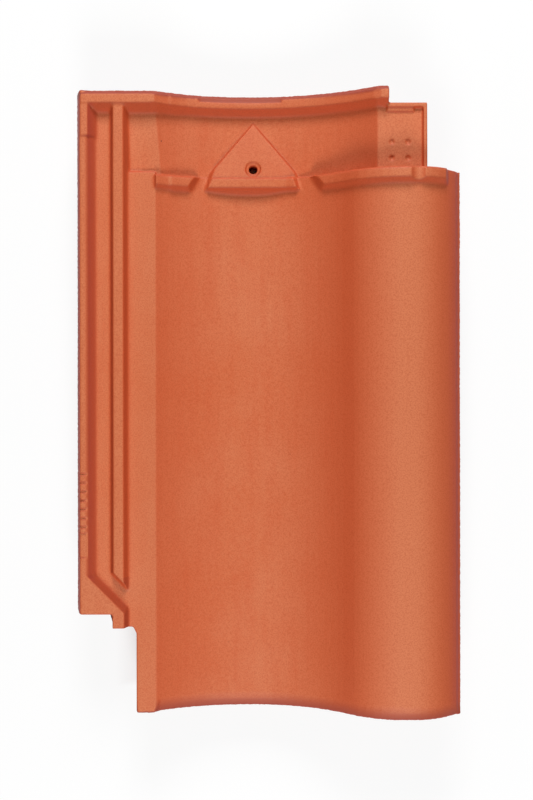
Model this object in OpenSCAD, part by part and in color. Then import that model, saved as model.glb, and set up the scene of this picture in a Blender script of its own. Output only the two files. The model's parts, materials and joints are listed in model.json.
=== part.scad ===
// Interlocking clay roof tile, pressed and fired as one piece.
// X runs across the tile, from the side lock on the left to the roll on the right,
// Y runs from foot to head, Z is up. Millimetres. The origin is under the middle of the tile.

/* [Body] */
// Overall length from foot to head
length = 425; // [400:1:450]
// Overall width from the side lock to the outer edge of the roll
width = 262; // [252:1:272]
// Thickness of the clay under the trough and the roll
thickness = 11.5; // [10:0.5:12.5]
// Width of the flat margin beside the side lock
margin_width = 18.8; // [15:0.1:23]
// Width from the margin to the lowest line of the trough
trough_run = 66.8; // [60:0.1:73]
// Width from the crest of the roll to the top of its outer edge
roll_run = 35.1; // [33:0.1:38]
// Height of the flat margin above the bottom of the trough
margin_rise = 16; // [14.5:0.1:17.5]
// How late the trough rises to the margin: 2 is a plain curve, more keeps the bottom flatter
trough_shape = 2.4; // [2:0.1:2.8]
// Height of the crest of the roll above the bottom of the trough
roll_rise = 40; // [38:0.1:43]
// Drop from the crest of the roll to the top of its outer edge
roll_drop = 14.5; // [12:0.1:15.5]
// How late the outer side of the roll falls: 2 is a plain curve, more keeps the crest flatter
roll_shape = 2.6; // [2:0.1:3]
// Radius of the roll on the side of the trough
roll_radius = 54.5; // [48:0.5:62]
// How far the outer edge of the roll slopes outward
roll_edge_slope = 2.4; // [1:0.1:3.5]
// Height of that sloped edge
roll_edge_height = 4.2; // [3:0.1:5]
// Width of the narrow ledge that the mould leaves along that edge
ledge_width = 1.3; // [0.6:0.1:2]
// Width of the gentle fall along the foot
foot_fall = 10; // [9:0.1:12]
// Drop of that fall at the foot
foot_fall_drop = 1.9; // [1.4:0.1:2.2]
// Width of the eased edge along the foot
foot_ease = 7.2; // [6:0.1:8]
// Drop of the eased edge at the foot
foot_ease_drop = 3.4; // [3:0.1:4]
// Width of its steeper outer part
foot_edge = 2.4; // [1.8:0.1:3]
// Drop of that outer part at the foot
foot_edge_drop = 4.9; // [4.5:0.1:5.5]

/* [Side lock] */
// How far the outer edge slopes outward below the rim
edge_slope = 3.4; // [2.5:0.1:4.5]
// Height of that sloped edge
edge_height = 11.5; // [8:0.1:13]
// Width of the top of the outer rim
rim_width = 4.6; // [3:0.1:5.5]
// Width of the sloped wall inside the rim
rim_wall = 5.8; // [4.5:0.1:7]
// Width of the floor of the groove
groove_width = 9.7; // [8:0.1:12]
// Width of the top of the lock rib
lock_rib_width = 7; // [5:0.1:8]
// Width of each sloped wall of the lock rib
lock_rib_wall = 2.5; // [2:0.1:3.5]
// Height of the rim and the lock rib above the groove
lock_height = 6.5; // [5.5:0.1:7]
// Thickness of the clay under the groove
lock_floor = 9.5; // [8.5:0.1:11]
// Radius on the edges of the lock
lock_round = 1.2; // [0.6:0.1:1.6]
// Radius on the inner edge of the rim
rim_round = 4; // [2:0.1:5]
// Length of the wider end of the rim at the head
rim_head_length = 31; // [25:1:40]
// How much wider and higher the rim is there
rim_head_step = 0.8; // [0.4:0.1:1.2]
// Number of gauge notches across the rim
notch_count = 7; // [0:1:12]
// Distance between gauge notches
notch_pitch = 6; // [4:0.1:8]
// Width of each gauge notch
notch_width = 1.8; // [1:0.1:2.5]
// Depth of the gauge notches
notch_depth = 0.5; // [0.3:0.1:0.9]
// Distance from the foot to the gauge notch nearest to it
notch_start = 127; // [118:1:140]
// Length of the shallow recess below the notches
recess_length = 17; // [10:1:20]

/* [Head] */
// Distance from the head edge to the head side of the inner rib
rib_line = 56.5; // [54:0.5:60]
// Height of the inner rib above the body
rib_height = 5; // [4:0.1:6]
// Width of the top of the inner rib
rib_top = 6.8; // [5:0.1:8]
// Width of the slope on the foot side of the inner rib
rib_slope = 3.8; // [2.8:0.1:4.8]
// Chamfer on the head side of the inner rib
rib_chamfer = 1.2; // [0.8:0.1:1.8]
// How far the inner rib stays back from the outer edge of the roll
rib_setback = 9.5; // [6:0.1:11]
// How far the two ends of the inner rib lean back
rib_end_lean = 2.4; // [1:0.1:4]
// Length of the lower stretch at the start of the inner rib and the head rim
low_stretch = 10; // [6:0.1:14]
// How much lower that stretch of the inner rib is
low_step = 1.2; // [0.3:0.1:1.6]
// Length of the slope at the end of that stretch
low_ramp = 2; // [1:0.1:4]
// Width of the saddle in the inner rib beside the crest
saddle_width = 10; // [7:0.1:13]
// Depth of that saddle
saddle_depth = 2.4; // [1:0.1:3]
// Distance from the crest line to the middle of the saddle
saddle_offset = 8.2; // [7:0.1:11]
// How much lower the head channel lies than the body
channel_drop = 0.6; // [0.4:0.1:1]
// Further fall of the margin in the head channel, at the inner rib
margin_fall = 2; // [1:0.1:3]
// How far the margin runs on past the inner rib before it steps down
margin_reach = 2; // [1:0.1:3]
// Width of the top of the head rim
head_rim_top = 8.8; // [7:0.1:9.6]
// Height of the head rim above the channel
head_rim_height = 7; // [6:0.1:8]
// Extra height of the head rim beside the side lock
head_rim_step = 1.8; // [1:0.1:3]
// Width over which that extra height fades out towards the trough
head_rim_fade = 24; // [14:1:34]
// How much lower the top of the head rim is along its start
rim_low_step = 0.5; // [0.2:0.1:0.9]
// Width of the slope on the foot side of the head rim
head_rim_slope = 4.8; // [3.8:0.1:6]
// Chamfer on the outer edge of the head rim
head_rim_chamfer = 3; // [2:0.1:4]
// Width of the shallow recess along the outer edge of the head rim
head_recess_width = 5; // [4:0.1:6]
// Length of that recess across the trough
head_recess_length = 57; // [40:1:64]
// How far the middle of that recess lies from the trough line, towards the side lock
head_recess_shift = 8.6; // [5:0.1:12]
// Depth of that recess
head_recess_depth = 0.8; // [0.4:0.1:1.4]

/* [Flange] */
// Height of the flat flange above the bottom of the trough
flange_rise = 28.5; // [28:0.1:29.5]
// Thickness of the flange
flange_thickness = 6.5; // [5.8:0.1:7]
// Width of the flange on the trough side of the crest line
flange_inner = 17.7; // [15:0.1:20]
// Width of the flange on the outer side of the crest line
flange_outer = 15.5; // [14.5:0.1:17]
// How far the flange stays back from the head edge
flange_setback = 11; // [10:0.1:14]
// How far the head rim runs on past the start of the flange
rim_overrun = 7.2; // [5:0.1:9]
// Width of each of the two steps that border the flange
border_width = 2.8; // [2:0.1:3.4]
// Height of each of those steps
border_step = 1.2; // [0.6:0.1:1.6]
// How far the inner step stops before the outer edge of the flange
border_stop = 9; // [7:0.1:12]
// Diameter of the four dimples in the flange
dimple_d = 4; // [3:0.1:5]
// Depth of the dimples
dimple_depth = 1; // [0.4:0.1:1.3]
// Distance between the dimples
dimple_pitch = 11; // [9:0.1:12.5]
// Distance from the inner rib to the first dimples
dimple_setback = 8.5; // [7:0.1:10]

/* [Nailing] */
// Width of the raised triangular pad at the inner rib
pad_width = 64; // [58:1:70]
// Length of the pad towards the head
pad_length = 38.6; // [34:0.1:40]
// Height of the pad above the bottom of the trough, along the inner rib
pad_rise = 5.2; // [4.5:0.1:6.5]
// Height of the pad above the channel at its tip
pad_height = 1; // [0.6:0.1:1.5]
// How far the walls of the pad lean outward for each millimetre of height
pad_draft = 0.35; // [0.2:0.05:0.6]
// How far the inner rib stands above the pad
pad_rib_step = 1; // [0.6:0.1:1.5]
// Least height of that part of the inner rib above the body
pad_rib_height = 3.8; // [3:0.1:4.6]
// Diameter of the nail hole
nail_d = 6; // [4.5:0.1:6.8]
// Diameter of the recess round the nail hole
nail_recess_d = 10.6; // [9:0.1:11.6]
// Depth of that recess at its shallow side
nail_recess_depth = 0.9; // [0.4:0.1:1.3]
// Distance from the nail hole to the inner rib
nail_setback = 6; // [6:0.1:8]
// Width of each drain gap in the inner rib, beside the pad
drain_gap = 3.6; // [3:0.1:5]
// How far the ends of the inner rib lean back from the drain gaps, over the height of the rib
drain_lean = 2.8; // [1:0.1:4]
// How far the level part of the rib leans back from them, over the height of the rib
pad_rib_lean = 4.5; // [2:0.1:6]
// Angle of the drain gaps to the length of the tile
drain_angle = 26; // [15:1:32]

/* [Foot corner] */
// Length of the foot that has no side lock
corner_length = 68.5; // [65:0.5:72]
// Width of the outer part of the plate that closes the side lock
plate_width = 25.4; // [23:0.1:28]
// How far the inner part of the plate runs on towards the foot
plate_step = 9.5; // [8:0.1:12]
// Width of the low web in the corner of that step
web_run = 3; // [2:0.1:4]
// How far the web lies below the top of the plate
web_drop = 6; // [4:0.1:8]
// Width of the wall between the plate and the margin
plate_wall = 2.2; // [1.5:0.1:3]
// Width of the margin that is left at the foot
foot_margin = 13.4; // [12.5:0.1:15.5]
// Chamfer where that margin meets the plate
foot_chamfer = 4.5; // [2:0.1:6]
// Chamfer on the outer corner of the plate
plate_chamfer = 2; // [1:0.1:3]
// Distance from the end of the lock to where the rim turns inward
drain_start = 26; // [24:0.5:28]
// Width of the drain between the rim and the end of the lock rib
drain_width = 11.8; // [10:0.1:13.5]

/* [Underside] */
// Height of the hanging nib below the clay
nib_height = 15; // [12:0.1:18]
// Width of the hanging nib across the tile
nib_width = 72; // [60:1:78]
// Thickness of the hanging nib along the tile
nib_depth = 16; // [14:0.5:18]
// How much thinner the nib is at its tip
nib_taper = 3; // [1:0.1:5]
// Distance from the head edge to the bearing face of the nib
nib_face = 34.5; // [32:0.5:38]
// Height of the foot rib below the clay
foot_rib_height = 5; // [4:0.1:7]
// Width of the foot rib across the tile
foot_rib_width = 80; // [60:1:84]
// Thickness of the foot rib along the tile
foot_rib_depth = 8; // [6:0.1:10]
// Distance from the foot to the foot rib
foot_rib_setback = 7.5; // [6:0.1:12]
// Width of the cover rib that enters the next tile's groove
cover_rib_width = 5; // [4:0.1:6]
// Width of the lip along the outer edge of the roll
lip_width = 4.5; // [3.5:0.1:5.5]
// Play between the roll and the lock of the next tile
lock_play = 1; // [0.6:0.1:1.4]

/* [Hidden] */

clay = [0.80, 0.43, 0.29];
round_steps = 4;
rib_part = 5.3;
draft = 0.6;
// Overlaps of joined shapes, and how far cutters reach past what they cut
trim = 1;
spare = 2;
sunk = 5;
deep = 60;
clear = 0.1;

// Levels from the bottom of the trough, and the lift that stands the nib on the floor
lock_z = margin_rise + lock_height;
edge_z = roll_rise - roll_drop;
flange_z = flange_rise - channel_drop;
lift = thickness + channel_drop + nib_height;

// Lines along the tile, from left to right
lock_width = edge_slope + rim_width + rim_wall + groove_width + lock_rib_width + 2 * lock_rib_wall;
flank_run = width - lock_width - margin_width - trough_run - roll_run - roll_edge_slope
    - ledge_width;
left_x = -width / 2;
rim_x = left_x + edge_slope;
rim_in_x = rim_x + rim_width;
groove_x = rim_in_x + rim_wall;
lock_rib_x = groove_x + groove_width;
margin_x = left_x + lock_width;
crease_x = margin_x + margin_width;
trough_x = crease_x + trough_run;
crest_x = trough_x + flank_run;
edge_x = crest_x + roll_run;
right_x = edge_x + roll_edge_slope + ledge_width;
start_x = margin_x - lock_rib_wall - trim;
foot_x = crease_x - foot_margin;
flange_x = crest_x - flange_inner;
flange_end_x = crest_x + flange_outer;
rim_end_x = flange_x + rim_overrun;
low_end_x = crease_x + low_stretch;

// Lines across the tile, from foot to head
head_y = length / 2;
foot_y = -length / 2;
lock_end_y = foot_y + corner_length;
plate_end_y = lock_end_y - plate_step;
rib_y = head_y - rib_line;
rib_edge_y = rib_y - rib_top;
channel_end_y = head_y - head_rim_top - head_rim_slope;

// Radii of the wave: trough to flank, and the head channel
function arc_radius(run, rise) = (run ^ 2 + rise ^ 2) / (2 * rise);
flank_r = arc_radius(flank_run, roll_rise);
hollow_r = flank_r - roll_radius;
channel_r = arc_radius(flange_x - trough_x, flange_rise);
bend_sin = flank_run / flank_r;
bend_x = trough_x + hollow_r * bend_sin;
bend_under_x = trough_x + (hollow_r + thickness) * bend_sin;

// Hollow and crown arcs as heights over x, on the surface or a wall below it
function hollow(x, r, wall = 0) = r - sqrt((r + wall) ^ 2 - (x - trough_x) ^ 2);
function crown(x, r, wall = 0) = roll_rise - r + sqrt((r - wall) ^ 2 - (x - crest_x) ^ 2);
function trough_side(x) = margin_rise * ((trough_x - max(x, crease_x)) / trough_run) ^ trough_shape;
function outer_side(x) = roll_rise - roll_drop * ((min(x, edge_x) - crest_x) / roll_run) ^ roll_shape;

// Top and underside of the body and of the head channel
function body_top(x) =
    x < trough_x ? trough_side(x)
    : x < bend_x ? hollow(x, hollow_r)
    : x < crest_x ? crown(x, roll_radius)
    : outer_side(x);
function body_under(x) =
    x < trough_x ? trough_side(x) - thickness
    : x < bend_under_x ? hollow(x, hollow_r, thickness)
    : x < crest_x ? crown(x, roll_radius, thickness)
    : outer_side(x) - thickness;
function channel_top(x) =
    (x < trough_x ? body_top(x) : x < flange_x ? hollow(x, channel_r) : flange_rise) - channel_drop;
function channel_under(x) =
    x < trough_x ? body_under(x) - channel_drop
    : min(flange_rise - flange_thickness, hollow(x, channel_r, thickness) - channel_drop);

// Ribs keep a height above the surface, with a lower stretch or a step beside the lock
function ramp(x) = max(0, min(1, (low_end_x - x) / low_ramp + 0.5));
function fade(t) = let (u = max(0, min(1, t))) u * u * (3 - 2 * u);
function head_rim_z(x) =
    channel_top(x) + head_rim_height - rim_low_step * ramp(x)
    + head_rim_step * fade(1 - (x - crease_x) / head_rim_fade);
function inner_rib_z(x) = body_top(x) + rib_height - low_step * ramp(x);
function pad_rib_z(x) = max(pad_rise + pad_rib_step, body_top(x) + pad_rib_height);

// Places on a line: n parts with or without the ends, and ribs in parts, past the slope of the low stretch
function steps(a, b, n) = [for (i = [0 : n]) a + (b - a) * i / n];
function between(a, b, n) = [for (i = [1 : n - 1]) a + (b - a) * i / n];
function rib_xs(a, b) = steps(a, b, ceil((b - a) / rib_part));
function stretch_xs(a, b, half) = [each rib_xs(a, low_end_x - half), each rib_xs(low_end_x + half, b)];

// Outline with rounded corners: each point is [x, z] or [x, z, radius]
function unit(v) = v / norm(v);
function flat(p) = [p[0], p[1]];
function corner(a, b, c, r) =
    let (
        u = unit(a - b),
        v = unit(c - b),
        half = acos(u * v) / 2,
        reach = r / tan(half),
        centre = b + unit(u + v) * r / sin(half)
    )
    [for (i = [0 : round_steps])
        let (p = b + u * reach * (1 - i / round_steps) + v * reach * i / round_steps)
        centre + r * unit(p - centre)];
function soft(p) = [
    for (i = [0 : len(p) - 1])
        let (n = len(p), a = p[(i + n - 1) % n], b = p[i], c = p[(i + 1) % n])
        each len(b) > 2 ? corner(flat(a), flat(b), flat(c), b[2]) : [b]
];

// A profile in x and z run along the tile from y0 to y1
module along(y0, y1) {
    translate([0, y1, 0]) rotate([90, 0, 0]) linear_extrude(y1 - y0) children();
}

// A line of [x, z] points that climbs by slope towards the head, level at y0: all under or over it
module slope_solid(line, y0, slope, far_z) {
    a = atan(slope);
    translate([0, y0, 0]) rotate([a + 90, 0, 0])
        linear_extrude(2 * deep / cos(a), center = true)
            polygon([
                for (p = line) [p[0], p[1] * cos(a)],
                [line[len(line) - 1][0], far_z],
                [line[0][0], far_z]
            ]);
}
module under_slope(line, y0, slope) slope_solid(line, y0, slope, -deep);
module over_slope(line, y0, slope) slope_solid(line, y0, slope, 2 * deep);

// A low wall across the tile between two surfaces, given as [x, low z, high z]
module cross_band(y0, y1, stops) {
    along(y0, y1)
        polygon([
            for (s = stops) [s[0], s[2]],
            for (i = [len(stops) - 1 : -1 : 0]) [stops[i][0], stops[i][1]]
        ]);
}

// The outer rim with its gauge notches, and the floor of the groove
module side_lock() {
    under_z = margin_rise - lock_floor;
    inner_x = start_x + 2 * trim;
    notch_y = foot_y + notch_start;
    difference() {
        union() {
            along(plate_end_y - trim, head_y)
                polygon(soft([
                    [left_x, lock_z - edge_height],
                    [rim_x, lock_z, lock_round],
                    [rim_in_x, lock_z, rim_round],
                    [groove_x, margin_rise, lock_round],
                    [inner_x, margin_rise],
                    [inner_x, under_z],
                    [left_x + edge_slope / 2, under_z, lock_round]
                ]));
            along(head_y - rim_head_length, head_y - head_rim_chamfer)
                polygon([
                    [rim_x, lock_z - lock_height],
                    [rim_x + rim_head_step / 2, lock_z + rim_head_step],
                    [rim_in_x + rim_head_step, lock_z + rim_head_step],
                    [groove_x + rim_head_step, lock_z - lock_height]
                ]);
        }
        for (i = [0 : 1 : notch_count - 1])
            translate([left_x, notch_y + i * notch_pitch, lock_z - notch_depth])
                cube([edge_slope + rim_width + rim_wall / 2, notch_width, sunk]);
        translate([left_x, notch_y - notch_pitch / 2 - recess_length, lock_z - notch_depth])
            cube([edge_slope + rim_width + rim_wall / 2, recess_length, sunk]);
    }
}

module lock_rib() {
    foot = lock_rib_wall * sunk / lock_height;
    end_y = lock_end_y + drain_start + drain_width * sqrt(2);
    difference() {
        along(lock_end_y, head_y - head_rim_chamfer)
            polygon(soft([
                [lock_rib_x - foot, margin_rise - sunk],
                [lock_rib_x + lock_rib_wall, lock_z, lock_round],
                [margin_x - lock_rib_wall, lock_z, lock_round],
                [margin_x + foot, margin_rise - sunk]
            ]));
        translate([rim_in_x, end_y, lock_z]) rotate(-45) rotate([90, 0, 90])
            linear_extrude(4 * deep, center = true)
                polygon([
                    for (z = [deep, -2 * lock_height]) [lock_rib_wall * (1 + z / lock_height), z],
                    [-2 * deep, -2 * lock_height],
                    [-2 * deep, deep]
                ]);
    }
}

// The plate at the foot end of the lock, whose slanting wall leads the groove out to the margin
module drain_plate() {
    wall_run = plate_wall * (lock_height + sunk) / lock_height;
    difference() {
        along(plate_end_y - trim, lock_end_y + drain_start + rim_wall)
            polygon([
                [rim_x + trim, margin_rise - sunk],
                [rim_x + trim, lock_z],
                [margin_x - plate_wall, lock_z],
                [margin_x - plate_wall + wall_run, margin_rise - sunk]
            ]);
        translate([rim_in_x, lock_end_y + drain_start, lock_z]) rotate(-45)
            rotate([90, 0, 90]) linear_extrude(4 * deep, center = true)
                polygon([
                    [0, 0],
                    [rim_wall * sqrt(2), -2 * lock_height],
                    [deep, -2 * lock_height],
                    [deep, deep],
                    [0, deep]
                ]);
    }
}

// The low web in the corner of the plate's step
module step_web() {
    x = left_x + plate_width;
    z = margin_rise - lock_floor + trim;
    translate([0, 0, z]) linear_extrude(lock_z - web_drop - z)
        polygon([
            [x - web_run, lock_end_y + trim],
            [x + trim, lock_end_y + trim],
            [x + trim, plate_end_y + trim],
            [x - clear, plate_end_y + trim]
        ]);
}

// Waved body from the foot to the inner rib, with the cover side under the roll
module body() {
    lip_z = margin_rise + lock_play;
    roof_z = lock_z + lock_play;
    cover_z = margin_rise + 2 * lock_play;
    pitch = right_x - lip_width - margin_x - lock_play;
    cover_x = lock_rib_x - (groove_width - cover_rib_width) / 2 + pitch;
    cover_in_x = cover_x - cover_rib_width;
    ease_xs = rib_xs(crease_x + spare, right_x + spare);
    difference() {
        along(foot_y, rib_y)
            polygon(soft([
                [start_x, margin_rise],
                [crease_x, margin_rise],
                for (x = between(crease_x, trough_x, 16)) [x, body_top(x)],
                for (x = between(trough_x, bend_x, 16)) [x, body_top(x)],
                for (x = between(bend_x, crest_x, 12)) [x, body_top(x)],
                for (x = between(crest_x, edge_x, 12)) [x, body_top(x)],
                [edge_x, edge_z, lock_round],
                [right_x - ledge_width, edge_z - roll_edge_height],
                [right_x, edge_z - roll_edge_height - clear],
                [right_x - draft, lip_z, lock_round],
                [right_x - lip_width, lip_z, lock_round],
                [right_x - lip_width - draft, roof_z, 2 * lock_round],
                [cover_x + draft, roof_z],
                [cover_x, cover_z, lock_round],
                [cover_in_x, cover_z, lock_round],
                [cover_in_x - draft, body_under(cover_in_x - draft)],
                for (x = between(cover_in_x - draft, crest_x, 5)) [x, body_under(x)],
                for (x = between(crest_x, bend_under_x, 10)) [x, body_under(x)],
                for (x = between(bend_under_x, trough_x, 14)) [x, body_under(x)],
                for (x = between(trough_x, crease_x - sunk, 14)) [x, body_under(x)],
                [crease_x - sunk, body_under(crease_x - sunk)],
                [start_x, margin_rise - thickness]
            ]));
        for (ease = [[foot_fall, foot_fall_drop], [foot_ease, foot_ease_drop], [foot_edge, foot_edge_drop]])
            over_slope(
                [[crease_x - spare, margin_rise + sunk], for (x = ease_xs) [x, body_top(x)]],
                foot_y + ease[0], ease[1] / ease[0]
            );
    }
}

// The channel between the inner rib and the head rim, which widens into the flange
module head_channel() {
    top_xs = [
        start_x, crease_x, each between(crease_x, trough_x, 15),
        each between(trough_x, flange_x, 19), flange_x, flange_end_x
    ];
    under_xs = [start_x, each steps(crease_x - sunk - trim, flange_x + spare, 30), flange_end_x];
    margin_z = margin_rise - channel_drop - margin_fall;
    difference() {
        along(rib_edge_y - rib_slope, head_y)
            polygon([
                for (x = top_xs) [x, channel_top(x)],
                for (i = [len(under_xs) - 1 : -1 : 0]) [under_xs[i], channel_under(under_xs[i])]
            ]);
        over_slope(
            [[start_x - trim, margin_z], [trough_x, margin_z]],
            rib_y, margin_fall / (channel_end_y - rib_y)
        );
    }
}

// The end of the margin, which steps down into the channel
module margin_end() {
    along(rib_y - trim, rib_y + margin_reach)
        polygon([
            [start_x, margin_rise - sunk],
            [start_x, margin_rise],
            [crease_x, margin_rise],
            [crease_x, margin_rise - sunk]
        ]);
}

// The inner rib follows the wave, but is nearly level behind the nail pad
module inner_rib() {
    start_x = crease_x + trim;
    end_x = right_x - rib_setback;
    low_y = rib_edge_y - 2 * rib_slope;
    pad_xs = rib_xs(trough_x - pad_width, trough_x + pad_width);
    pad_slope_xs = rib_xs(trough_x - pad_width - spare, trough_x + pad_width + spare);
    saddle_x = crest_x + saddle_offset;
    saddle_r = arc_radius(saddle_width / 2, saddle_depth);
    slope_xs = stretch_xs(start_x - rib_end_lean - spare, end_x + spare, low_ramp / 2 - clear);
    difference() {
        intersection() {
            cross_band(low_y, rib_y, [
                rib_end(start_x - rib_end_lean),
                for (x = stretch_xs(start_x, end_x - rib_end_lean, low_ramp / 2))
                    [x, body_top(x) - sunk, inner_rib_z(x)],
                rib_end(end_x)
            ]);
            under_slope([for (x = slope_xs) [x, inner_rib_z(x)]], rib_edge_y, rib_height / rib_slope);
            under_slope([for (x = slope_xs) [x, inner_rib_z(x)]], rib_y - rib_chamfer, -1);
        }
        intersection() {
            drain_side(-1, drain_gap / 2, drain_lean);
            drain_side(1, drain_gap / 2, drain_lean);
        }
        translate([saddle_x, 0, inner_rib_z(saddle_x) - saddle_depth + saddle_r])
            rotate([-90, 0, 0]) cylinder(r = saddle_r, h = length, $fn = 64);
    }
    intersection() {
        cross_band(low_y, rib_y, [for (x = pad_xs) [x, body_top(x) - sunk, pad_rib_z(x)]]);
        under_slope([for (x = pad_slope_xs) [x, pad_rib_z(x)]], rib_edge_y, rib_height / rib_slope);
        under_slope([for (x = pad_slope_xs) [x, pad_rib_z(x)]], rib_y - rib_chamfer, -1);
        drain_side(-1, -drain_gap / 2, -pad_rib_lean);
        drain_side(1, -drain_gap / 2, -pad_rib_lean);
    }
}
function rib_end(x) = [x, body_top(x) - sunk, body_top(x) - trim];

// All on the pad's side of a slanting plane beside a drain gap: reach from the middle of the gap, and lean
module drain_side(side, reach, lean) {
    gap_x = trough_x + side * (pad_width + drain_gap) / 2;
    translate([gap_x, rib_y, channel_top(trough_x + side * pad_width / 2)]) rotate(side * drain_angle)
        rotate([90, 0, 0]) linear_extrude(2 * deep, center = true)
            polygon([
                for (z = [-2 * sunk, 4 * sunk]) [side * (reach + lean * z / rib_height), z],
                [-side * 3 * deep, 4 * sunk],
                [-side * 3 * deep, -2 * sunk]
            ]);
}

module head_rim() {
    slope_line = [
        [left_x, head_rim_z(left_x)],
        for (x = stretch_xs(crease_x - spare, rim_end_x + spare, low_ramp / 2 - clear)) [x, head_rim_z(x)]
    ];
    recess_x = trough_x - head_recess_shift;
    recess_xs = rib_xs(recess_x - head_recess_length / 2, recess_x + head_recess_length / 2);
    difference() {
        intersection() {
            cross_band(channel_end_y - head_rim_slope, head_y, [
                for (x = [rim_x + trim, each stretch_xs(crease_x, rim_end_x, low_ramp / 2)])
                    [x, channel_top(x) - sunk, head_rim_z(x)]
            ]);
            under_slope(slope_line, head_y - head_rim_top, head_rim_height / head_rim_slope);
            under_slope(slope_line, head_y - head_rim_chamfer, -1);
        }
        cross_band(head_y - head_recess_width, head_y + trim, [
            for (x = recess_xs) [x, head_rim_z(x) - head_recess_depth, head_rim_z(x) + sunk]
        ]);
    }
}

// Two low steps along the edges of the flange: the outer one turns the corner, the inner one stops short
module flange_border() {
    top_y = head_y - flange_setback;
    low_z = flange_z - spare;
    translate([0, 0, low_z]) {
        linear_extrude(flange_z - low_z + 2 * border_step)
            polygon([
                [rim_end_x - trim, top_y],
                [flange_end_x, top_y],
                [flange_end_x, rib_y - trim],
                [flange_end_x - border_width, rib_y - trim],
                [flange_end_x - border_width, top_y - border_width],
                [rim_end_x - trim, top_y - border_width]
            ]);
        translate([rim_end_x - trim, top_y - 2 * border_width, 0])
            cube([
                flange_end_x - border_stop - rim_end_x + trim, 2 * border_width - trim,
                flange_z - low_z + border_step
            ]);
    }
}

// Flat triangular pad for the nail, which rises from the channel towards the inner rib
function pad_z(y) = pad_rise - (pad_rise + channel_drop - pad_height) * (y - rib_y) / pad_length;

module nail_pad() {
    tilt = atan((pad_rise + channel_drop - pad_height) / pad_length);
    reach = pad_length / cos(tilt);
    intersection() {
        translate([trough_x, rib_y, pad_rise]) rotate([-tilt, 0, 0]) intersection() {
            translate([-pad_width, -trim, -2 * sunk]) cube([2 * pad_width, 2 * reach, 2 * sunk]);
            pad_side(-1, reach);
            pad_side(1, reach);
        }
        drain_side(-1, -drain_gap / 2, -pad_rib_lean);
        drain_side(1, -drain_gap / 2, -pad_rib_lean);
    }
}

// All inside one leaning wall of the pad, which runs from its tip down one side
module pad_side(side, reach) {
    translate([0, reach, 0]) rotate(side * atan(pad_width / 2 / reach)) rotate([90, 0, 0])
        linear_extrude(4 * deep, center = true)
            polygon([
                for (z = [sunk, -3 * sunk]) [-side * z * pad_draft, z],
                [-side * 2 * deep, -3 * sunk],
                [-side * 2 * deep, sunk]
            ]);
}

module nail_hole() {
    y = rib_y + nail_setback;
    translate([trough_x, y, 0]) {
        translate([0, 0, -deep]) cylinder(h = 2 * deep, d = nail_d, $fn = 64);
        translate([0, 0, pad_z(y + nail_recess_d / 2) - nail_recess_depth])
            cylinder(h = deep, d = nail_recess_d, $fn = 64);
    }
}

module dimples() {
    r = arc_radius(dimple_d / 2, dimple_depth);
    for (i = [-1, 0], j = [0, 1])
        translate([
            crest_x + (i + 0.25) * dimple_pitch,
            rib_y + dimple_setback + j * dimple_pitch,
            flange_z + r - dimple_depth
        ]) sphere(r, $fn = 64);
}

// Everything that the plan outline leaves out at the foot and head corners
module corner_cuts() {
    translate([0, 0, -deep]) linear_extrude(4 * deep) {
        polygon([
            [left_x - trim, lock_end_y + plate_chamfer + trim],
            [left_x + plate_chamfer, lock_end_y],
            [left_x + plate_width, lock_end_y],
            [left_x + plate_width, plate_end_y],
            [foot_x - foot_chamfer / 2, plate_end_y],
            [foot_x, plate_end_y - foot_chamfer],
            [foot_x, foot_y - trim],
            [left_x - trim, foot_y - trim]
        ]);
        translate([rim_end_x, head_y - flange_setback]) square([width, length]);
    }
}

module nib() {
    y = head_y - nib_face;
    tip_z = -lift;
    translate([trough_x - nib_width / 2, 0, 0]) rotate([90, 0, 90]) linear_extrude(nib_width)
        polygon([[y, -sunk], [y, tip_z], [y + nib_depth - nib_taper, tip_z], [y + nib_depth, -sunk]]);
}

module foot_rib() {
    translate([trough_x - foot_rib_width / 2, foot_y + foot_rib_setback, -thickness - foot_rib_height])
        cube([foot_rib_width, foot_rib_depth, thickness + foot_rib_height - spare]);
}

module roof_tile() {
    color(clay) translate([0, 0, lift]) {
        difference() {
            union() {
                side_lock();
                lock_rib();
                drain_plate();
                body();
                head_channel();
                margin_end();
                inner_rib();
                head_rim();
                flange_border();
                nail_pad();
                nib();
                foot_rib();
            }
            corner_cuts();
            nail_hole();
            dimples();
        }
        step_web();
    }
}

roof_tile();
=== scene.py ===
"""Dresses the pressed clay roof tile: soft clay edges, fired-clay finish, floor, light and camera"""
import json
import math

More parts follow.
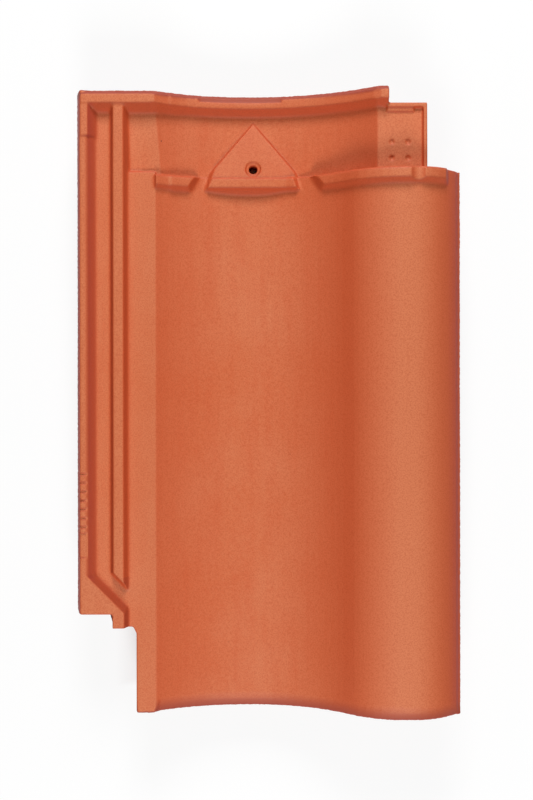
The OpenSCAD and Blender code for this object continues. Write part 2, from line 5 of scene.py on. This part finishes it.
import bpy
from bpy.props import FloatProperty, FloatVectorProperty, IntProperty, PointerProperty
from bpy.types import Operator, Panel, PropertyGroup
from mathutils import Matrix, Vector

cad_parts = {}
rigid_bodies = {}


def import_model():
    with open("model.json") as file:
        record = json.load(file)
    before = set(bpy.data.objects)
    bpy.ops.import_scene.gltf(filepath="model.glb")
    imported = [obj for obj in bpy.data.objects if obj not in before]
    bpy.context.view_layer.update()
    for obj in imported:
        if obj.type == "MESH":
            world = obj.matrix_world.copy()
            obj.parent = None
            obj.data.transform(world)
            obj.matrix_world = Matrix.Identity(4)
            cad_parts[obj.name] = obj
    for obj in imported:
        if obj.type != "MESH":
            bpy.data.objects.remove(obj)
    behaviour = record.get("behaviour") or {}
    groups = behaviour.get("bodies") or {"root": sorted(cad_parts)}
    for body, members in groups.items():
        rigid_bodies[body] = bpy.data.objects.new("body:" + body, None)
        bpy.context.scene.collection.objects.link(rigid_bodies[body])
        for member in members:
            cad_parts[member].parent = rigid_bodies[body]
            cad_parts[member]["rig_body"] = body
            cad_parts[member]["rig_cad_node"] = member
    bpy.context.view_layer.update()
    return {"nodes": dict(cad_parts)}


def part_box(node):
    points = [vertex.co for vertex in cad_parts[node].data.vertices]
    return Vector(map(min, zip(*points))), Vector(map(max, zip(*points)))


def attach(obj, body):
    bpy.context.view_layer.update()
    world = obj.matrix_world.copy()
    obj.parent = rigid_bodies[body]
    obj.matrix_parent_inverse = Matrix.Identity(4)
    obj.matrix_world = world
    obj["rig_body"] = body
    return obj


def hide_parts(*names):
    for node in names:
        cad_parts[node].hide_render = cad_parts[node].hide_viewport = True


bl_info = {
    "name": "Clay roof tile",
    "version": (1, 0, 0),
    "blender": (4, 5, 0),
    "location": "View3D > Sidebar > Roof tile",
    "description": "Softens a pressed roof tile, gives it a clay finish and sets it in a plain studio",
    "category": "Object",
}

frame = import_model()

TILE_NODE = "roof_tile"

# Lengths are in metres, and places are from the middle of the tile, as the frame has them
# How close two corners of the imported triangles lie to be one
MERGE = 0.00001
# How far smoothing has to lift the clay for it to count as an inner corner
FILL = 0.00005
# Size of the crumbs along the outer edges
CRUMB_SIZE = 0.0018
# Small relief lies on the notched rim, in the plate's step, behind the inner rib and on the flange
RIM_SIDE = -0.1195
STEP_SIDE = -0.1035
STEP_HEAD = -0.1425
MARGIN_SIDE = -0.086
MARGIN_FOOT = 0.1555
MARGIN_HEAD = 0.1955
FLANGE_SIDE = 0.078
# The gauge notches along the rim's upper side, and the recess at their foot end
NOTCH_FIRST = -0.0846
NOTCH_PITCH = 0.006
NOTCH_COUNT = 7
NOTCH_WIDTH = 0.0016
NOTCH_RECESS = (-0.1055, -0.0885)
NOTCH_SIDE = -0.1228
RIM_LOW = 0.0465
# The upper face of the rib under the nail pad
PAD_RIB_LOW = (-0.041, 0.148)
PAD_RIB_HIGH = (0.0205, 0.1556)
PAD_RIB_FLOOR = 0.027
# Where a tint fades in: none at the first place or steepness, all of it at the second
# Painted sheen: the higher the clay, the paler it is painted, standing in for the lights' sheen on the tops
SHEEN_RISE = (0.03, 0.068)
# Painted shade: steeper faces are painted redder and darker, as they catch less light and sheen
SLOPE_STEEP = (0.08, 0.75)
# Painted shade: the steep outer sides at both edges are painted darker and greyer
FLANK_SIDE = (0.117, 0.1215)
FLANK_STEEP = (0.63, 0.82)
# Painted shade on the lock's walls facing the roll and in the head rim's recess; the head, foot and roll
# ends are darker too
LOCK_SIDE = (-0.103, -0.1045)
LOCK_FOOT = (-0.1185, -0.1195)
LOCK_RIB = (-0.0935, -0.095)
LOCK_STEEP = (0.3, 0.6)
HEAD_END = (0.2075, 0.209)
HEAD_STEEP = (0.28, 0.6)
FOOT_END = (-0.203, -0.2115)
FOOT_STEEP = (0.06, 0.3)
RECESS_END = (0.2073, 0.2079)
ROLL_SIDE = (0.108, 0.11)
ROLL_END = (0.1575, 0.159)
# Painted shadow: below this height the plate's step corner is painted dark
WEDGE_DROP = (0.0487, 0.0477)
# Where the head rim's recess and the plate's step corner lie, both painted with shade, and how soft their
# ends are
RECESS_SIDES = (-0.0465, 0.0095, 0.001)
WEDGE_SIDES = (-0.1086, -0.106, 0.0003)
WEDGE_ENDS = (-0.1525, -0.144, 0.0005)
# The floor under the tile keeps its shadow, and turns white away from it
FLOOR_SIZE = 8.0
SHADE_SIDE = (0.06, 0.11)
SHADE_END = (0.185, 0.205)
WHITE_REACH = (0.35, 1.0)
WHITE_NEAR = 0.85


class TileShape(PropertyGroup):
    """How the pressed clay softens and moves in the kiln"""
    grid: FloatProperty(
        name="Grid", description="Size of the cells that the tile is pressed into",
        default=0.00065, min=0.0005, max=0.003, subtype="DISTANCE", unit="LENGTH")
    crispness: IntProperty(
        name="Crispness", description="Smoothing passes on the small relief, fewer for crisper lines",
        default=2, min=0, max=30)
    softening: IntProperty(
        name="Softening", description="Further smoothing passes that round all other edges",
        default=3, min=0, max=30)
    fillets: IntProperty(
        name="Fillets", description="Smoothing passes that fill the inner corners",
        default=36, min=0, max=100)
    ragged: FloatProperty(
        name="Ragged edge", description="Height of the crumbs along the trimmed outer edges",
        default=0.0006, min=0.0, max=0.002, subtype="DISTANCE", unit="LENGTH")
    ragged_reach: FloatProperty(
        name="Ragged reach", description="How far those crumbs reach in from the outer edges",
        default=0.0013, min=0.0, max=0.005, subtype="DISTANCE", unit="LENGTH")
    trim_marks: FloatProperty(
        name="Trim marks", description="How many times longer than wide the blade draws the crumbs",
        default=9.0, min=1.0, max=30.0)
    notches: FloatProperty(
        name="Notches", description="How much deeper the gauge notches are pressed, to stay sharp",
        default=0.0005, min=0.0, max=0.001, subtype="DISTANCE", unit="LENGTH")
    pad_rib: FloatProperty(
        name="Pad rib", description="How much the rib under the nail pad is raised, to stay sharp",
        default=0.0006, min=0.0, max=0.001, subtype="DISTANCE", unit="LENGTH")
    warp: FloatProperty(
        name="Warp", description="Height of the slight waves left by the kiln",
        default=0.0004, min=0.0, max=0.002, subtype="DISTANCE", unit="LENGTH")
    warp_length: FloatProperty(
        name="Warp length", description="Length of those waves",
        default=0.09, min=0.02, max=0.3, subtype="DISTANCE", unit="LENGTH")
    triangles: IntProperty(
        name="Triangles", description="Most triangles in the finished tile",
        default=196000, min=20000, max=199000)


class ClayFinish(PropertyGroup):
    """Colours and grain of the fired clay, with the painted sheen and shade"""
    clay: FloatVectorProperty(
        name="Clay", description="Colour of the fired clay",
        default=(0.62, 0.147, 0.052), min=0.0, max=1.0, subtype="COLOR", size=3)
    # Pale clay: the paler tone of the kiln clouds and mottle, and also the colour of the painted sheen on
    # the high parts
    pale: FloatVectorProperty(
        name="Pale clay", description="Colour where the fire has left the clay paler",
        default=(0.655, 0.196, 0.084), min=0.0, max=1.0, subtype="COLOR", size=3)
    # Deep clay: the redder clay of the drag lines and mottle, and also the colour of the painted shade on
    # the steep faces
    deep: FloatVectorProperty(
        name="Deep clay", description="Colour of the redder clay",
        default=(0.57, 0.091, 0.027), min=0.0, max=1.0, subtype="COLOR", size=3)
    # Outer sides: painted shade, a darker and greyer colour on the steep outer sides
    side: FloatVectorProperty(
        name="Outer sides", description="Colour of the outer sides, greyed by the fire",
        default=(0.5, 0.07, 0.042), min=0.0, max=1.0, subtype="COLOR", size=3)
    # Painted shade on the lock's walls and in the head rim's recess; the same darker colour lies on the
    # steep faces at the head and foot and on the roll's end
    dark_ends_and_shade: FloatVectorProperty(
        name="Scuffed ends", description="Colour of the edges at the head and the foot",
        default=(0.33, 0.053, 0.03), min=0.0, max=1.0, subtype="COLOR", size=3)
    grit: FloatVectorProperty(
        name="Grit", description="Colour of the dark grains in the clay",
        default=(0.44, 0.055, 0.012), min=0.0, max=1.0, subtype="COLOR", size=3)
    # Specks: the few dark specks in the clay, and also the painted shadow in the plate's step corner
    speck_and_shadow: FloatVectorProperty(
        name="Specks", description="Colour of the few dark specks",
        default=(0.16, 0.03, 0.02), min=0.0, max=1.0, subtype="COLOR", size=3)
    grain: FloatProperty(
        name="Grain", description="Size of the sandy grain",
        default=0.0011, min=0.0002, max=0.005, subtype="DISTANCE", unit="LENGTH")
    grain_height: FloatProperty(
        name="Grain height", description="Height of the sandy grain",
        default=0.00012, min=0.0, max=0.001, subtype="DISTANCE", unit="LENGTH")
    # Painted shade: how much of the deep red is painted on the steep faces, as they catch less light
    slope_shade: FloatProperty(
        name="Slopes", description="How much redder the steep faces are",
        default=0.95, min=0.0, max=1.0, subtype="FACTOR")
    # Painted sheen: how much paler the high parts are painted, in place of the lights' sheen
    high_sheen: FloatProperty(
        name="Bloom", description="How much paler the high parts of the tile are",
        default=0.9, min=0.0, max=1.0, subtype="FACTOR")
    roughness: FloatProperty(
        name="Roughness", description="Roughness of the matt surface",
        default=0.6, min=0.0, max=1.0, subtype="FACTOR")


class StudioStage(PropertyGroup):
    """Floor, light and camera"""
    camera_place: FloatVectorProperty(
        name="Camera place", description="Place of the camera, which looks straight down", size=3,
        default=(-0.0008, 0.0016, 0.8039), subtype="TRANSLATION", unit="LENGTH")
    camera_roll: FloatProperty(
        name="Camera roll", description="Turn of the camera about its line of sight",
        default=math.radians(-0.09), subtype="ANGLE", unit="ROTATION")
    lens: FloatProperty(name="Lens", description="Focal length of the camera in millimetres", default=50.0)
    softbox: FloatProperty(
        name="Softboxes", description="Width of the two soft lights beyond the head and the foot",
        default=0.55, min=0.1, max=4.0, subtype="DISTANCE", unit="LENGTH")
    softbox_distance: FloatProperty(
        name="Softbox distance", description="Distance of the soft lights from the tile",
        default=1.6, min=0.5, max=5.0, subtype="DISTANCE", unit="LENGTH")
    softbox_shift: FloatProperty(
        name="Softbox shift", description="How far the soft lights stand towards the side of the roll",
        default=0.02, subtype="DISTANCE", unit="LENGTH")
    head_angle: FloatProperty(
        name="Head light angle", description="Angle of the light beyond the head above the floor",
        default=math.radians(34.0), subtype="ANGLE", unit="ROTATION")
    head_light: FloatProperty(
        name="Head light", description="Power of the light beyond the head",
        default=23.6, min=0.0, subtype="POWER", unit="POWER")
    foot_angle: FloatProperty(
        name="Foot light angle", description="Angle of the light beyond the foot above the floor",
        default=math.radians(41.0), subtype="ANGLE", unit="ROTATION")
    foot_light: FloatProperty(
        name="Foot light", description="Power of the light beyond the foot",
        default=19.7, min=0.0, subtype="POWER", unit="POWER")
    fill: FloatProperty(
        name="Fill", description="Strength of the light from all round", default=0.04, min=0.0)
    floor: FloatVectorProperty(
        name="Floor", description="Colour of the pale floor",
        default=(0.9, 0.9, 0.9), min=0.0, max=1.0, subtype="COLOR", size=3)


class RoofTileSettings(PropertyGroup):
    """Everything that can be set on the tile and its studio"""
    shape: PointerProperty(type=TileShape)
    finish: PointerProperty(type=ClayFinish)
    stage: PointerProperty(type=StudioStage)


def select_only(obj):
    """Leaves obj selected and active, and nothing else"""
    bpy.ops.object.select_all(action="DESELECT")
    obj.select_set(True)
    bpy.context.view_layer.objects.active = obj


def apply_modifier(obj, kind, **settings):
    """Adds a modifier to obj and applies it"""
    modifier = obj.modifiers.new(kind.title(), kind)
    for name, value in settings.items():
        setattr(modifier, name, value)
    select_only(obj)
    bpy.ops.object.modifier_apply(modifier=modifier.name)


def add_node(tree, kind, inputs=(), **settings):
    """A shader node with its settings, and its inputs given as values or as sockets to link"""
    node = tree.nodes.new(kind)
    for name, value in settings.items():
        setattr(node, name, value)
    for name, value in dict(inputs).items():
        if isinstance(value, bpy.types.NodeSocket):
            tree.links.new(value, node.inputs[name])
        else:
            node.inputs[name].default_value = value
    return node


def keeps_relief(place):
    """Whether a place is on the rim, in the plate's step, or between the inner rib and the head rim"""
    if place.x < RIM_SIDE or (place.x < STEP_SIDE and place.y < STEP_HEAD):
        return True
    behind_rib = place.y > MARGIN_FOOT and place.x > MARGIN_SIDE
    return behind_rib and (place.y < MARGIN_HEAD or place.x > FLANGE_SIDE)


def in_notch(place):
    """Whether a place is in a gauge notch or in the recess below them"""
    if place.x > NOTCH_SIDE or place.z < RIM_LOW:
        return False
    if NOTCH_RECESS[0] < place.y < NOTCH_RECESS[1]:
        return True
    number = round((place.y - NOTCH_FIRST) / NOTCH_PITCH)
    middle = NOTCH_FIRST + number * NOTCH_PITCH
    return 0 <= number < NOTCH_COUNT and abs(place.y - middle) < NOTCH_WIDTH / 2


def on_pad_rib(place):
    """Whether a place is on the upper face of the rib under the nail pad"""
    inside = all(PAD_RIB_LOW[i] < place[i] < PAD_RIB_HIGH[i] for i in (0, 1))
    return inside and place.z > PAD_RIB_FLOOR


def noise(tree, place, size, detail=2.0, roughness=0.5):
    """Noise with lumps of about the given size in metres"""
    inputs = {"Vector": place, "Scale": 1.0 / size, "Detail": detail, "Roughness": roughness}
    return add_node(tree, "ShaderNodeTexNoise", inputs).outputs["Fac"]


def remap(tree, value, low, high, to_low=0.0, to_high=1.0):
    """Value from low to high as a value from to_low to to_high"""
    inputs = {"Value": value, "From Min": low, "From Max": high, "To Min": to_low, "To Max": to_high}
    return add_node(tree, "ShaderNodeMapRange", inputs, clamp=True).outputs["Result"]


def maths(tree, operation, first, second):
    """Two values put together, the second a socket or a number"""
    return add_node(tree, "ShaderNodeMath", {0: first, 1: second}, operation=operation).outputs["Value"]


def band(tree, value, low, high, soft):
    """1 where value lies between low and high, with soft ends"""
    begun = remap(tree, value, low - soft, low)
    ended = remap(tree, value, high + soft, high)
    return maths(tree, "MULTIPLY", begun, ended)


def blend(tree, factor, first, second):
    """Mix of two colours, each a socket or a colour, by a factor from a socket"""
    mix = add_node(tree, "ShaderNodeMix", data_type="RGBA")
    tree.links.new(factor, mix.inputs[0])
    for index, value in ((6, first), (7, second)):
        if isinstance(value, bpy.types.NodeSocket):
            tree.links.new(value, mix.inputs[index])
        else:
            mix.inputs[index].default_value = (*value, 1.0)
    return mix.outputs[2]


def new_material(name):
    """An empty node material and its output"""
    material = bpy.data.materials.new(name)
    material.use_nodes = True
    material.node_tree.nodes.clear()
    return material, add_node(material.node_tree, "ShaderNodeOutputMaterial")


def steepness(tree, normal):
    """0 where the clay lies flat, 1 where it stands upright"""
    level = add_node(tree, "ShaderNodeMapping", {"Vector": normal, "Scale": (1.0, 1.0, 0.0)})
    length = add_node(tree, "ShaderNodeVectorMath", {0: level.outputs["Vector"]}, operation="LENGTH")
    return length.outputs["Value"]


def distances(tree, place):
    """How far a place is from the middle of the tile, along each axis"""
    away = add_node(tree, "ShaderNodeVectorMath", {0: place}, operation="ABSOLUTE").outputs["Vector"]
    return add_node(tree, "ShaderNodeSeparateXYZ", {0: away}).outputs


def kiln_clouds(tree, place, finish):
    """Colour of the clay with pale clouds, faint drag lines along the tile and a fine mottle"""
    stretch = {"Vector": place, "Scale": (1.0, 0.12, 1.0)}
    drawn = add_node(tree, "ShaderNodeMapping", stretch).outputs["Vector"]
    clouds = remap(tree, noise(tree, place, 0.075, 3.0), 0.35, 0.68)
    colour = blend(tree, clouds, finish.clay, finish.pale)
    drags = remap(tree, noise(tree, drawn, 0.008, 3.0), 0.45, 0.75, 0.0, 0.3)
    colour = blend(tree, drags, colour, finish.deep)
    mottle = noise(tree, place, 2.0 * finish.grain, 2.0, 0.6)
    colour = blend(tree, remap(tree, mottle, 0.5, 0.75, 0.0, 0.4), colour, finish.pale)
    return blend(tree, remap(tree, mottle, 0.47, 0.25, 0.0, 0.3), colour, finish.deep)


def dark_ends_and_shaded_places(tree, axes, steep, facing):
    """How much the clay is darkened: painted shade on the lock's walls and in the rim's recess, and a
    darker colour on the steep faces at the head and the foot and on the roll's end
    """
    head = maths(tree, "MULTIPLY", remap(tree, axes["Y"], *HEAD_END), remap(tree, steep, *HEAD_STEEP))
    foot = remap(tree, steep, *FOOT_STEEP, 0.0, 0.95)
    foot = maths(tree, "MULTIPLY", remap(tree, axes["Y"], *FOOT_END), foot)
    recess = remap(tree, axes["Y"], *RECESS_END, 0.0, 0.9)
    recess = maths(tree, "MULTIPLY", band(tree, axes["X"], *RECESS_SIDES), recess)
    roll = maths(tree, "MULTIPLY", remap(tree, axes["X"], *ROLL_SIDE), remap(tree, axes["Y"], *ROLL_END))
    lock = maths(tree, "MAXIMUM", remap(tree, axes["X"], *LOCK_SIDE), remap(tree, axes["Y"], *LOCK_FOOT))
    lock = maths(tree, "MULTIPLY", lock, remap(tree, axes["X"], *LOCK_RIB))
    darkening = maths(tree, "MULTIPLY", lock, remap(tree, facing["X"], *LOCK_STEEP, 0.0, 0.4))
    for place in (head, foot, recess, roll):
        darkening = maths(tree, "MAXIMUM", darkening, place)
    return darkening


def painted_wedge_shadow(tree, axes):
    """Painted shadow in the deep corner of the plate's step"""
    wedge = maths(tree, "MULTIPLY", band(tree, axes["X"], *WEDGE_SIDES), band(tree, axes["Y"], *WEDGE_ENDS))
    return maths(tree, "MULTIPLY", wedge, remap(tree, axes["Z"], *WEDGE_DROP))


def dark_specks(tree, place):
    """A few round specks, in three cells out of ten"""
    cells = add_node(tree, "ShaderNodeTexVoronoi", {"Vector": place, "Scale": 45.0}).outputs
    chance = add_node(tree, "ShaderNodeSeparateColor", {"Color": cells["Color"]}).outputs["Red"]
    dots = remap(tree, cells["Distance"], 0.028, 0.014)
    return maths(tree, "MULTIPLY", remap(tree, chance, 0.7, 0.72), dots)


def fired_clay(finish):
    """Matt terracotta with kiln clouds, faint drag lines, a sandy grain and a few dark specks, with painted
    sheen on the high parts and painted shade on the slopes, outer sides, lock walls, recess and step corner
    """
    material, output = new_material("fired_clay")
    tree = material.node_tree
    around = add_node(tree, "ShaderNodeTexCoord").outputs
    place = around["Object"]
    axes = add_node(tree, "ShaderNodeSeparateXYZ", {0: place}).outputs
    facing = add_node(tree, "ShaderNodeSeparateXYZ", {0: around["Normal"]}).outputs
    steep = steepness(tree, around["Normal"])

    colour = kiln_clouds(tree, place, finish)
    # Painted sheen: the high parts are painted paler
    colour = blend(tree, remap(tree, axes["Z"], *SHEEN_RISE, 0.0, finish.high_sheen), colour, finish.pale)
    # Painted shade: steep faces are painted in the deep red
    colour = blend(tree, remap(tree, steep, *SLOPE_STEEP, 0.0, finish.slope_shade), colour, finish.deep)
    # Painted shade on the steep outer sides
    side_shade = remap(tree, distances(tree, place)["X"], *FLANK_SIDE)
    side_shade = maths(tree, "MULTIPLY", side_shade, remap(tree, steep, *FLANK_STEEP))
    colour = blend(tree, side_shade, colour, finish.side)
    # Painted shade on the lock's walls and in the recess, and darker head, foot and roll ends
    colour = blend(tree, dark_ends_and_shaded_places(tree, axes, steep, facing), colour, finish.dark_ends_and_shade)
    # Painted shadow in the plate's step corner
    colour = blend(tree, painted_wedge_shadow(tree, axes), colour, finish.speck_and_shadow)
    grains = noise(tree, place, 0.8 * finish.grain, 1.0)
    colour = blend(tree, remap(tree, grains, 0.4, 0.7, 0.0, 0.4), colour, finish.grit)
    colour = blend(tree, dark_specks(tree, place), colour, finish.speck_and_shadow)

    sand = noise(tree, place, finish.grain, 3.0, 0.65)
    bump = add_node(tree, "ShaderNodeBump", {
        "Height": sand, "Strength": 0.6, "Distance": finish.grain_height})
    shader = add_node(tree, "ShaderNodeBsdfPrincipled", {
        "Base Color": colour, "Normal": bump.outputs["Normal"], "Roughness": finish.roughness,
        "Specular IOR Level": 0.3})
    tree.links.new(shader.outputs["BSDF"], output.inputs["Surface"])
    return material


def pale_floor(stage):
    """Pale matt floor, which the camera sees as nearly white and which still takes the tile's shadow"""
    material, output = new_material("pale_floor")
    tree = material.node_tree
    matt = add_node(tree, "ShaderNodeBsdfDiffuse", {"Color": (*stage.floor, 1.0)})
    white = add_node(tree, "ShaderNodeEmission", {"Strength": 1.0})
    place = add_node(tree, "ShaderNodeTexCoord").outputs["Object"]
    away = add_node(tree, "ShaderNodeVectorMath", {0: place}, operation="LENGTH").outputs["Value"]
    spot = distances(tree, place)
    clear = maths(tree, "MAXIMUM", remap(tree, spot["X"], *SHADE_SIDE), remap(tree, spot["Y"], *SHADE_END))
    seen = add_node(tree, "ShaderNodeLightPath").outputs["Is Camera Ray"]
    seen = maths(tree, "MULTIPLY", seen, clear)
    seen = maths(tree, "MULTIPLY", seen, remap(tree, away, *WHITE_REACH, WHITE_NEAR, 1.0))
    mix = add_node(tree, "ShaderNodeMixShader", {0: seen, 1: matt.outputs[0], 2: white.outputs[0]})
    tree.links.new(mix.outputs[0], output.inputs["Surface"])
    return material


def white_surroundings(scene, stage):
    """Even fill light from all round, which the camera sees as white"""
    world = bpy.data.worlds.new("studio")
    world.use_nodes = True
    tree = world.node_tree
    tree.nodes.clear()
    seen = add_node(tree, "ShaderNodeLightPath").outputs["Is Camera Ray"]
    fill = add_node(tree, "ShaderNodeBackground", {"Strength": stage.fill})
    white = add_node(tree, "ShaderNodeBackground", {"Color": (1.0, 1.0, 1.0, 1.0), "Strength": 1.0})
    mix = add_node(tree, "ShaderNodeMixShader", {0: seen, 1: fill.outputs[0], 2: white.outputs[0]})
    output = add_node(tree, "ShaderNodeOutputWorld")
    tree.links.new(mix.outputs[0], output.inputs["Surface"])
    scene.world = world


class ROOF_TILE_OT_press(Operator):
    """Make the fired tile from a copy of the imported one, with soft edges and a clay finish"""
    bl_idname = "roof_tile.press"
    bl_label = "Press the tile"

    def execute(self, context):
        settings = context.scene.roof_tile
        tile = self.copy_packed_tile(context)
        self.soften(tile, settings.shape)
        self.fill_corners(tile, settings.shape)
        self.sharpen(tile, "notches", in_notch, -settings.shape.notches)
        self.sharpen(tile, "pad_rib", on_pad_rib, settings.shape.pad_rib)
        self.warp(tile, settings.shape)
        self.crumble(tile, settings.shape)
        self.thin(tile, settings.shape)
        tile.data.materials.clear()
        tile.data.materials.append(fired_clay(settings.finish))
        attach(tile, "root")
        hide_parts(TILE_NODE)
        return {"FINISHED"}

    @staticmethod
    def copy_packed_tile(context):
        """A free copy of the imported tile, with its loose triangles merged"""
        select_only(frame["nodes"][TILE_NODE])
        bpy.ops.object.duplicate()
        tile = context.view_layer.objects.active
        tile.name = "pressed_tile"
        bpy.ops.object.parent_clear(type="CLEAR_KEEP_TRANSFORM")
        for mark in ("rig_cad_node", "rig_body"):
            del tile[mark]
        bpy.ops.object.mode_set(mode="EDIT")
        bpy.ops.mesh.select_all(action="SELECT")
        bpy.ops.mesh.remove_doubles(threshold=MERGE)
        bpy.ops.object.mode_set(mode="OBJECT")
        return tile

    @staticmethod
    def soften(tile, shape):
        """Rounds every edge a little, as pressed clay is"""
        apply_modifier(tile, "REMESH", mode="VOXEL", voxel_size=shape.grid, use_smooth_shade=True)
        apply_modifier(tile, "SMOOTH", factor=0.5, iterations=shape.crispness)
        plain = tile.vertex_groups.new(name="plain_faces")
        plain.add([v.index for v in tile.data.vertices if not keeps_relief(v.co)], 1.0, "REPLACE")
        apply_modifier(tile, "SMOOTH", factor=0.5, iterations=shape.softening, vertex_group=plain.name)

    @staticmethod
    def fill_corners(tile, shape):
        """Rounds the inner corners far more than the outer edges, by smoothing only what smoothing fills"""
        select_only(tile)
        bpy.ops.object.duplicate()
        smoothed = bpy.context.view_layer.objects.active
        apply_modifier(smoothed, "SMOOTH", factor=0.5, iterations=shape.fillets)
        filled = [
            before.index for before, after in zip(tile.data.vertices, smoothed.data.vertices)
            if (after.co - before.co).dot(before.normal) > FILL and not keeps_relief(before.co)
        ]
        bpy.data.objects.remove(smoothed)
        corners = tile.vertex_groups.new(name="inner_corners")
        corners.add(filled, 1.0, "REPLACE")
        apply_modifier(tile, "SMOOTH", factor=0.5, iterations=shape.fillets, vertex_group=corners.name)

    @staticmethod
    def sharpen(tile, name, is_there, rise):
        """Lifts or lowers one small form by a hair, so that its edges stay as the mould left them"""
        form = tile.vertex_groups.new(name=name)
        form.add([v.index for v in tile.data.vertices if is_there(v.co)], 1.0, "REPLACE")
        apply_modifier(
            tile, "DISPLACE", direction="Z", strength=rise, mid_level=0.0, vertex_group=form.name)

    @staticmethod
    def warp(tile, shape):
        """Moves the faces by long low waves, as drying and firing do"""
        waves = bpy.data.textures.new("kiln_waves", "CLOUDS")
        waves.noise_scale = shape.warp_length
        waves.noise_depth = 1
        apply_modifier(
            tile, "DISPLACE", texture=waves, texture_coords="LOCAL", strength=shape.warp, mid_level=0.5)

    @staticmethod
    def crumble(tile, shape):
        """Roughens the outermost edges, where a blade has trimmed what the mould pressed out"""
        low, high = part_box(TILE_NODE)
        edge = tile.vertex_groups.new(name="outer_edge")
        outer = [
            vertex.index for vertex in tile.data.vertices
            if any(min(vertex.co[i] - low[i], high[i] - vertex.co[i]) < shape.ragged_reach for i in (0, 1))
        ]
        edge.add(outer, 1.0, "REPLACE")
        crumbs = bpy.data.textures.new("crumbs", "CLOUDS")
        crumbs.noise_scale = CRUMB_SIZE
        crumbs.noise_depth = 2
        bpy.ops.object.empty_add()
        blade = bpy.context.view_layer.objects.active
        blade.scale = (1.0, 1.0, shape.trim_marks)
        bpy.context.view_layer.update()
        apply_modifier(
            tile, "DISPLACE", texture=crumbs, texture_coords="OBJECT", texture_coords_object=blade,
            strength=shape.ragged, mid_level=0.5, vertex_group=edge.name)
        bpy.data.objects.remove(blade)

    @staticmethod
    def thin(tile, shape):
        """Takes out triangles where the tile is flat"""
        tile.data.calc_loop_triangles()
        share = shape.triangles / len(tile.data.loop_triangles)
        if share < 1.0:
            apply_modifier(tile, "DECIMATE", ratio=share)
        select_only(tile)
        bpy.ops.object.shade_smooth()


class ROOF_TILE_OT_stage(Operator):
    """Set the floor, the soft light and the camera that looks straight down"""
    bl_idname = "roof_tile.stage"
    bl_label = "Set the stage"

    def execute(self, context):
        stage = context.scene.roof_tile.stage
        bpy.ops.object.select_all(action="DESELECT")
        bpy.ops.mesh.primitive_plane_add(size=FLOOR_SIZE)
        floor = context.view_layer.objects.active
        floor.name = "studio_floor"
        floor.data.materials.append(pale_floor(stage))

        self.add_softbox(context, "head_softbox", 1.0, stage.head_angle, stage.head_light)
        self.add_softbox(context, "foot_softbox", -1.0, stage.foot_angle, stage.foot_light)

        bpy.ops.object.camera_add(location=stage.camera_place, rotation=(0.0, 0.0, stage.camera_roll))
        camera = context.view_layer.objects.active
        camera.name = "studio_camera"
        camera.data.lens = stage.lens
        context.scene.camera = camera
        white_surroundings(context.scene, stage)
        context.scene.view_settings.view_transform = "Standard"
        return {"FINISHED"}

    @staticmethod
    def add_softbox(context, name, side, angle, power):
        """A square soft light that faces the tile from beyond its head (side 1) or its foot (side -1)"""
        stage = context.scene.roof_tile.stage
        reach = stage.softbox_distance * math.cos(angle)
        height = stage.softbox_distance * math.sin(angle)
        lean = side * (angle - math.pi / 2)
        place = (stage.softbox_shift, side * reach, height)
        bpy.ops.object.light_add(type="AREA", location=place, rotation=(lean, 0.0, 0.0))
        softbox = context.view_layer.objects.active
        softbox.name = name
        softbox.data.size = stage.softbox
        softbox.data.energy = power


class ROOF_TILE_PT_panel(Panel):
    """Buttons and settings for the roof tile"""
    bl_label = "Clay roof tile"
    bl_idname = "ROOF_TILE_PT_panel"
    bl_space_type = "VIEW_3D"
    bl_region_type = "UI"
    bl_category = "Roof tile"

    def draw(self, context):
        settings = context.scene.roof_tile
        groups = ((ROOF_TILE_OT_press, "shape"), (None, "finish"), (ROOF_TILE_OT_stage, "stage"))
        for operator, group in groups:
            box = self.layout.box()
            if operator:
                box.operator(operator.bl_idname)
            values = getattr(settings, group)
            for name in values.bl_rna.properties.keys():
                if name not in ("rna_type", "name"):
                    box.prop(values, name)


CLASSES = (
    TileShape, ClayFinish, StudioStage, RoofTileSettings,
    ROOF_TILE_OT_press, ROOF_TILE_OT_stage, ROOF_TILE_PT_panel,
)


def register():
    for cls in CLASSES:
        bpy.utils.register_class(cls)
    bpy.types.Scene.roof_tile = PointerProperty(type=RoofTileSettings)


def unregister():
    del bpy.types.Scene.roof_tile
    for cls in reversed(CLASSES):
        bpy.utils.unregister_class(cls)


def main():
    register()
    bpy.ops.roof_tile.press()
    bpy.ops.roof_tile.stage()


if __name__ == "__main__":
    main()
